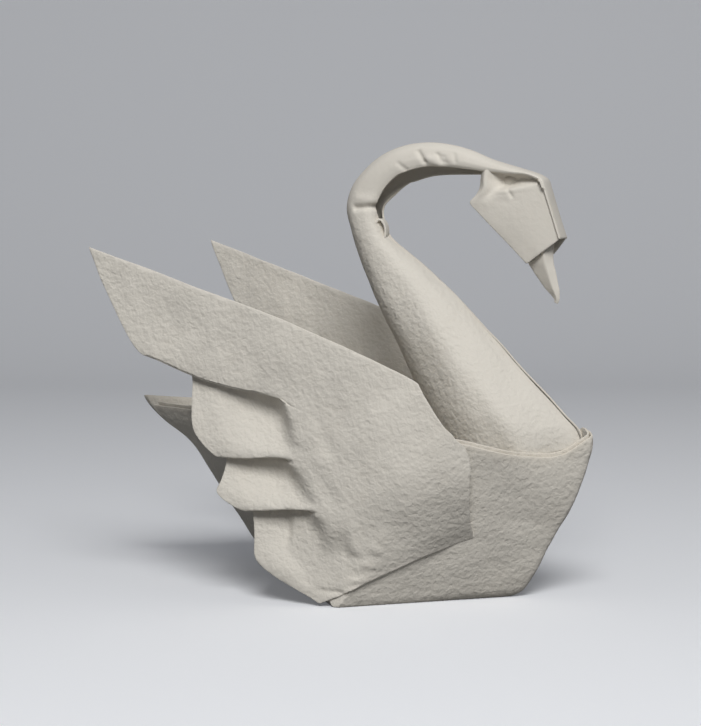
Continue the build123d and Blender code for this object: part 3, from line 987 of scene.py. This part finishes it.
@dataclass
class Wing:
    """Wing folded into pleats from its rear edge, smooth in front, hinged on the body's front wall."""

    side: Side = Side.RIGHT
    ply: float = 0.42
    tuck: float = 4.3
    # Places along the wing, and at each of them the top, three folds and the spread from the middle
    stations: Tuple[float, ...] = (-60.0, -44.0, -31.0, -21.0, -13.0, -6.0, 4.0, 14.0, 26.0)
    top: Tuple[float, ...] = (75.6, 70.4, 66.0, 62.7, 60.0, 57.3, 53.4, 48.7, 42.0)
    folds: Table = (
        (53.5, 51.2, 46.3, 44.3, 43.6, 41.7, 40.0, 39.0, 37.4),
        (31.0, 30.6, 30.2, 30.2, 31.0, 31.2, 31.0, 30.8, 30.2),
        (19.0, 19.0, 19.0, 19.2, 19.9, 20.5, 21.8, 23.0, 24.4),
    )
    spread: Tuple[float, ...] = (30.3, 29.1, 28.2, 27.6, 27.5, 27.5, 27.2, 26.9, 26.9)
    # Lower edge, a straight fold on the body's front wall: x and z
    hinge: Table = (
        (-60.0, 0.5), (-13.0, 0.5), (-6.2, 0.5), (-1.7, 2.4),
        (5.8, 6.2), (14.1, 10.4), (20.1, 13.0), (26.5, 15.5),
    )
    hinge_stand: float = 0.5
    hinge_widest: float = 25.5
    # The wing stays this far outside the wall, up to a height and forward of a place, both with a run
    # over which that ends. The wall's widest half width falls off with height
    clearance: float = 0.35
    clear_top: float = 35.0
    clear_top_run: float = 3.0
    clear_rear: float = -12.0
    clear_rear_run: float = 4.0
    clear_end: float = 9.0
    wall_top: float = 41.0
    wall_slope: float = 0.04
    # How far out the sheet stands between hinge and spread, by height share and place along the wing
    height_shares: Tuple[float, ...] = (0.0, 0.1, 0.26, 0.48, 0.74, 1.0)
    bulge_places: Tuple[float, ...] = (-60.0, -24.1, -11.7, -1.7, 5.8, 14.1, 20.1, 26.5)
    bulges: Table = (
        (1.0, 1.0, 1.0, 1.0, 1.0, 1.0),
        (0.0, 0.6, 0.95, 1.0, 1.0, 1.0),
        (-0.2, 0.5, 0.95, 1.02, 1.0, 0.96),
        (0.0, 0.4, 0.85, 1.08, 1.0, 0.92),
        (0.0, 0.32, 0.76, 1.03, 0.98, 0.87),
        (0.0, 0.28, 0.68, 0.93, 0.9, 0.8),
        (0.0, 0.24, 0.5, 0.72, 0.8, 0.8),
        (0.0, 0.16, 0.34, 0.5, 0.58, 0.64),
    )
    # Where each pleat opens, and where the hollow under it ends at the next fold
    knuckles: Table = ((-11.5, -8.0), (-10.5, -3.5), (-5.0, 10.0))
    # Run over which a pleat opens in depth, and in height, which ends before the knuckle
    open_run: float = 5.5
    pleat_run: float = 4.5
    pleat_end: float = 2.5
    # Run of the hollow's front flank, its length back to the smooth feather and the run of that end
    flank_run: float = 5.6
    hollow_length: float = 20.0
    hollow_run: float = 13.0
    # Rows down the sheet: stretch between two folds, share of it, share of the tuck, fan at the smooth
    # end, depth inside the pleat, depth of the hollow by the knuckle, and its rear and front ends
    rows: Table = (
        (0, 0.00, 0, 0.0, 0.00, 0.0, -57.3, 15.8),
        (0, 0.25, 0, 0.0, 0.00, 0.0, -54.7, 17.4),
        (0, 0.50, 0, 0.0, 0.00, 0.0, -52.0, 19.0),
        (0, 0.75, 0, 0.0, -0.10, 0.0, -49.1, 20.4),
        (0, 0.93, 0, 0.0, -0.10, 0.0, -46.5, 21.4),
        (0, 1.00, 0, 0.0, 0.25, 0.0, -44.0, 22.0),
        (1, 0.00, 1, 0.5, 1.15, 0.0, -42.5, 22.6),
        (1, 0.00, 1, 1.1, 1.45, 0.1, -36.0, 23.0),
        (1, 0.00, 0, 1.8, 1.75, 1.0, -34.4, 23.5),
        (1, 0.20, 0, 0.8, 1.30, 3.0, -34.3, 24.2),
        (1, 0.45, 0, 0.0, 0.60, 3.0, -34.3, 25.0),
        (1, 0.70, 0, 0.0, 0.05, 1.8, -33.4, 25.5),
        (1, 0.90, 0, 0.0, -0.15, 0.3, -29.7, 25.7),
        (1, 1.00, 0, 0.0, 0.25, 0.0, -27.2, 25.7),
        (2, 0.00, 1, 0.4, 1.15, 2.9, -27.0, 25.7),
        (2, 0.00, 1, 0.9, 1.45, 2.9, -26.8, 25.65),
        (2, 0.00, 0, 1.5, 1.75, 1.3, -26.6, 25.6),
        (2, 0.20, 0, 0.7, 1.20, 2.8, -26.9, 25.5),
        (2, 0.40, 0, 0.0, 0.60, 3.0, -27.4, 25.4),
        (2, 0.60, 0, 0.0, 0.10, 2.4, -28.6, 25.3),
        (2, 0.75, 0, 0.0, -0.10, 1.3, -26.9, 25.2),
        (2, 0.93, 0, 0.0, -0.15, 0.1, -23.2, 25.1),
        (2, 1.00, 0, 0.0, 0.25, 0.0, -21.5, 25.0),
        (3, 0.00, 1, 0.4, 1.15, 2.8, -21.3, 24.95),
        (3, 0.00, 1, 0.9, 1.45, 2.8, -21.2, 24.9),
        (3, 0.00, 0, 1.4, 1.75, 1.4, -21.0, 24.8),
        (3, 0.20, 0, 0.6, 1.20, 2.8, -20.3, 24.6),
        (3, 0.50, 0, 0.0, 0.40, 3.2, -20.4, 24.3),
        (3, 0.62, 0, 0.0, 0.10, 2.8, -18.4, 24.15),
        (3, 0.78, 0, 0.0, -0.10, 1.7, -13.5, 24.0),
        (3, 0.92, 0, 0.0, -0.10, 0.4, -8.0, 23.9),
        (3, 1.00, 0, 0.0, 0.00, 0.0, -5.6, 23.8),
    )
    # Steps along each row and from row to row, and passes that round the folds both ways
    steps_along: int = 170
    steps_down: int = 6
    soft_down: int = 7
    soft_along: int = 3
    waves: Waves = ((14.0, 0.22, 31), (6.0, 0.06, 32))
    # Soft troughs in the smooth stretch, seen from the side, and where they begin to show
    trough_rear: float = -10.0
    trough_run: float = 8.0
    troughs: Dents = (
        ((-7.0, 40.0), (-2.5, 33.5), 1.8, 0.3),
        ((-6.0, 28.5), (-1.5, 22.5), 1.8, 0.3),
        ((-9.5, 3.7), (-0.5, 3.2), 0.6, 0.35),
    )

    def at(self, table: Any, x: Array) -> Array:
        """A value from its table at places along the wing."""
        return spline(self.stations, table, x)

    def stand(self, x: Array, z: Array, top: Array, low: Array) -> Array:
        """Half width of the smooth sheet: it bulges out from the hinge on the wall to the full spread.

        Args:
            x: Places along the wing.
            z: Heights there.
            top: Height of the wing's top at each place.
            low: Height of its hinge.

        Returns:
            The distance from the middle at each place.
        """
        share = np.clip((z - low) / (top - low), 0, 1)
        weights = spline(self.height_shares, np.eye(len(self.height_shares)), share)
        bulge = (spline(self.bulge_places, self.bulges, x) * weights).sum(-1)
        wall = Body().front_wall(x, low) + self.hinge_stand
        return between(np.minimum(wall, self.hinge_widest), self.at(self.spread, x), bulge)

    def clear(self, x: Array, z: Array) -> Array:
        """Least half width that keeps the wing outside the body's wall.

        Args:
            x: Places along the wing.
            z: Heights there.

        Returns:
            The wall's half width and the clearance, less a drop behind and above the wall.
        """
        widest = self.hinge_widest - self.wall_slope * z
        wall = np.minimum(Body().front_wall(x, np.clip(z, 0.0, self.wall_top)), widest)
        behind = eased((self.clear_rear - x) / self.clear_rear_run)
        above = eased((z - self.clear_top) / self.clear_top_run)
        return wall + self.clearance - self.clear_end * behind - self.clear_end * above

    def rib(self) -> Array:
        """Every row of the sheet as a curve from its rear end to its front end.

        Its height runs with the folds on either side of it, rises by the tuck inside a pleat and fans
        out in front of the knuckle. Its y is that of the smooth sheet, less the pleat's depth and the
        hollow's, and never inside the body's wall.

        Returns:
            Grid of points: steps along, rows down, 3.
        """
        table = np.array(self.rows)
        stretch = table[:, 0].astype(int)
        share, tuck, fan, depth, hollow, rear, front = (table[None, :, k] for k in range(1, 8))
        u = np.linspace(0, 1, self.steps_along)[:, None]
        x = between(rear, front, u)
        edges = np.array([self.top, *self.folds]).T
        levels = np.concatenate([self.at(edges, x), np.interp(x, *zip(*self.hinge))[..., None]], -1)
        row = np.arange(len(table))[None, :]
        step = np.arange(len(u))[:, None]
        upper, lower = levels[step, row, stretch[None, :]], levels[step, row, stretch[None, :] + 1]
        last = share == 1.0
        fold = np.clip(np.where(last, stretch + 1, stretch) - 1, 0, len(self.knuckles) - 1)
        ends = np.array(self.knuckles)
        pleat = eased((ends[fold, 0] - x - self.pleat_end) / self.pleat_run)
        opened = eased((ends[fold, 0] - x) / self.open_run)
        flank = between(ends[fold, 0], ends[fold, 1], np.where(last, 0.0, share))
        beside = eased((flank - x) / self.flank_run)
        beside = beside * eased((x - flank + self.hollow_length) / self.hollow_run)
        z = between(upper, lower, share) + tuck * self.tuck * pleat - fan * (1 - opened)
        inside = depth * opened + hollow * beside
        y = self.stand(x, z, levels[..., 0], levels[..., -1]) - inside
        return np.stack([x, np.maximum(y, self.clear(x, z)), z], -1)

    def grid(self) -> Array:
        """Outer face with rounded folds, troughs and the unevenness of paper.

        Returns:
            Grid of points: steps along, steps down, 3.
        """
        points = softened(densified(self.rib(), self.steps_down), self.soft_down, 1)
        points = softened(points, self.soft_along, 0)
        x, z = points[..., 0], points[..., 2]
        front = eased((x - self.trough_rear) / self.trough_run)
        depth = unevenness(points, self.waves)
        for start, end, radius, amount in self.troughs:
            depth = depth + amount * dent(x, z, start, end, radius) * front
        points[..., 1] -= depth
        points[..., 1] *= self.side.value
        return points

    def build(self) -> List[bpy.types.Object]:
        """The wing as one closed sheet."""
        name = f"wing_{self.side.name.lower()}"
        return [Paper(name, self.grid(), self.ply, inwards=-self.side.value).build()]


# Stage


@dataclass(frozen=True)
class Lamp:
    """Square soft lamp. Its direction is to the camera's right, towards the camera and up."""

    name: str
    direction: Tuple[float, float, float]
    distance: float
    size: float
    power: float


@dataclass
class Studio:
    """Pale floor that sweeps up into a backdrop, soft lamps and the camera at its viewing angle."""

    floor: PlainFinish = PlainFinish()
    lamps: Tuple[Lamp, ...] = (
        Lamp("key_lamp", (0.05, 0.75, 0.68), 0.9, 0.38, 6.5),
        Lamp("fill_lamp", (0.9, 0.3, 0.5), 1.1, 0.7, 0.45),
    )
    world_colour: Colour = (0.9, 0.93, 1.0, 1.0)
    world_strength: float = 0.13
    # Sizes of the backdrop, and the camera's target and distance, in metres
    width: float = 3.2
    front: float = 1.4
    back: float = 0.9
    sweep: float = 0.45
    sweep_steps: int = 24
    height: float = 1.8
    target: Tuple[float, float, float] = (-0.009, 0.0, 0.04912)
    azimuth: float = 22.0
    elevation: float = 5.0
    distance: float = 0.45
    lens: float = 101.4
    sensor: float = 36.0
    clip_start: float = 0.01

    def aside(self) -> Tuple[Vector, Vector]:
        """Unit vectors along the floor, to the camera's right and away from it."""
        turn = math.radians(self.azimuth)
        return Vector((math.cos(turn), math.sin(turn), 0)), Vector((-math.sin(turn), math.cos(turn), 0))

    def backdrop(self) -> bpy.types.Object:
        """Floor, quarter-round sweep and wall: a profile carried across the camera's view.

        Returns:
            The backdrop.
        """
        run = self.back - self.sweep
        turn = np.linspace(0, math.pi / 2, self.sweep_steps)
        depth = np.concatenate([[-self.front], run + self.sweep * np.sin(turn), [self.back]])
        up = np.concatenate([[0.0], self.sweep * (1 - np.cos(turn)), [self.height]])
        across, away = (np.array(v) for v in self.aside())
        sides = np.array([-self.width / 2, self.width / 2])
        points = sides[:, None, None] * across + depth[None, :, None] * away
        points[..., 2] += up
        count = len(depth)
        cell = np.arange(count - 1)
        faces = np.stack([cell, cell + count, cell + count + 1, cell + 1], -1)
        mesh = bpy.data.meshes.new("backdrop")
        mesh.from_pydata(points.reshape(-1, 3).tolist(), [], faces.tolist())
        mesh.shade_smooth()
        piece = bpy.data.objects.new("backdrop", mesh)
        bpy.context.scene.collection.objects.link(piece)
        mesh.materials.append(self.floor.material())
        return piece

    def hang(self, lamp: Lamp) -> None:
        """Hangs a lamp so that it shines at the swan.

        Args:
            lamp: The lamp's place, size and power.
        """
        across, away = self.aside()
        right, nearer, up = lamp.direction
        direction = right * across - nearer * away + Vector((0, 0, up))
        place = Vector(self.target) + lamp.distance * direction.normalized()
        light = bpy.data.lights.new(lamp.name, "AREA")
        light.shape = "SQUARE"
        light.size = lamp.size
        light.energy = lamp.power
        piece = bpy.data.objects.new(lamp.name, light)
        piece.location = place
        piece.rotation_euler = (Vector(self.target) - place).to_track_quat("-Z", "Y").to_euler()
        bpy.context.scene.collection.objects.link(piece)

    def camera(self) -> None:
        """Camera that looks at the target from its azimuth and elevation."""
        turn, rise = math.radians(self.azimuth), math.radians(self.elevation)
        back = Vector((math.sin(turn) * math.cos(rise), -math.cos(turn) * math.cos(rise), math.sin(rise)))
        data = bpy.data.cameras.new("camera")
        data.lens = self.lens
        data.sensor_width = self.sensor
        data.clip_start = self.clip_start
        piece = bpy.data.objects.new("camera", data)
        piece.location = Vector(self.target) + self.distance * back
        piece.rotation_euler = back.to_track_quat("Z", "Y").to_euler()
        bpy.context.scene.collection.objects.link(piece)
        bpy.context.scene.camera = piece

    def build(self) -> None:
        """Backdrop, lamps, world and camera."""
        self.backdrop()
        for lamp in self.lamps:
            self.hang(lamp)
        world = bpy.data.worlds.new("world")
        world.use_nodes = True
        sky = world.node_tree.nodes["Background"]
        sky.inputs["Color"].default_value = self.world_colour
        sky.inputs["Strength"].default_value = self.world_strength
        bpy.context.scene.world = world
        bpy.context.scene.view_settings.view_transform = "Standard"
        self.camera()


def main() -> None:
    """Builds the swan piece by piece, dresses it and sets the stage."""
    logging.basicConfig(level=logging.INFO, format="%(message)s")
    material = PaperFinish().material()
    for part in (Body(), Neck(), Head(), Wing(Side.RIGHT), Wing(Side.LEFT)):
        for piece in part.build():
            piece.data.materials.append(material)
            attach(piece, "root")
            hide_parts("swan")
            log.info("%s: %d faces", piece.name, len(piece.data.polygons))
    Studio().build()


if __name__ == "__main__":
    main()
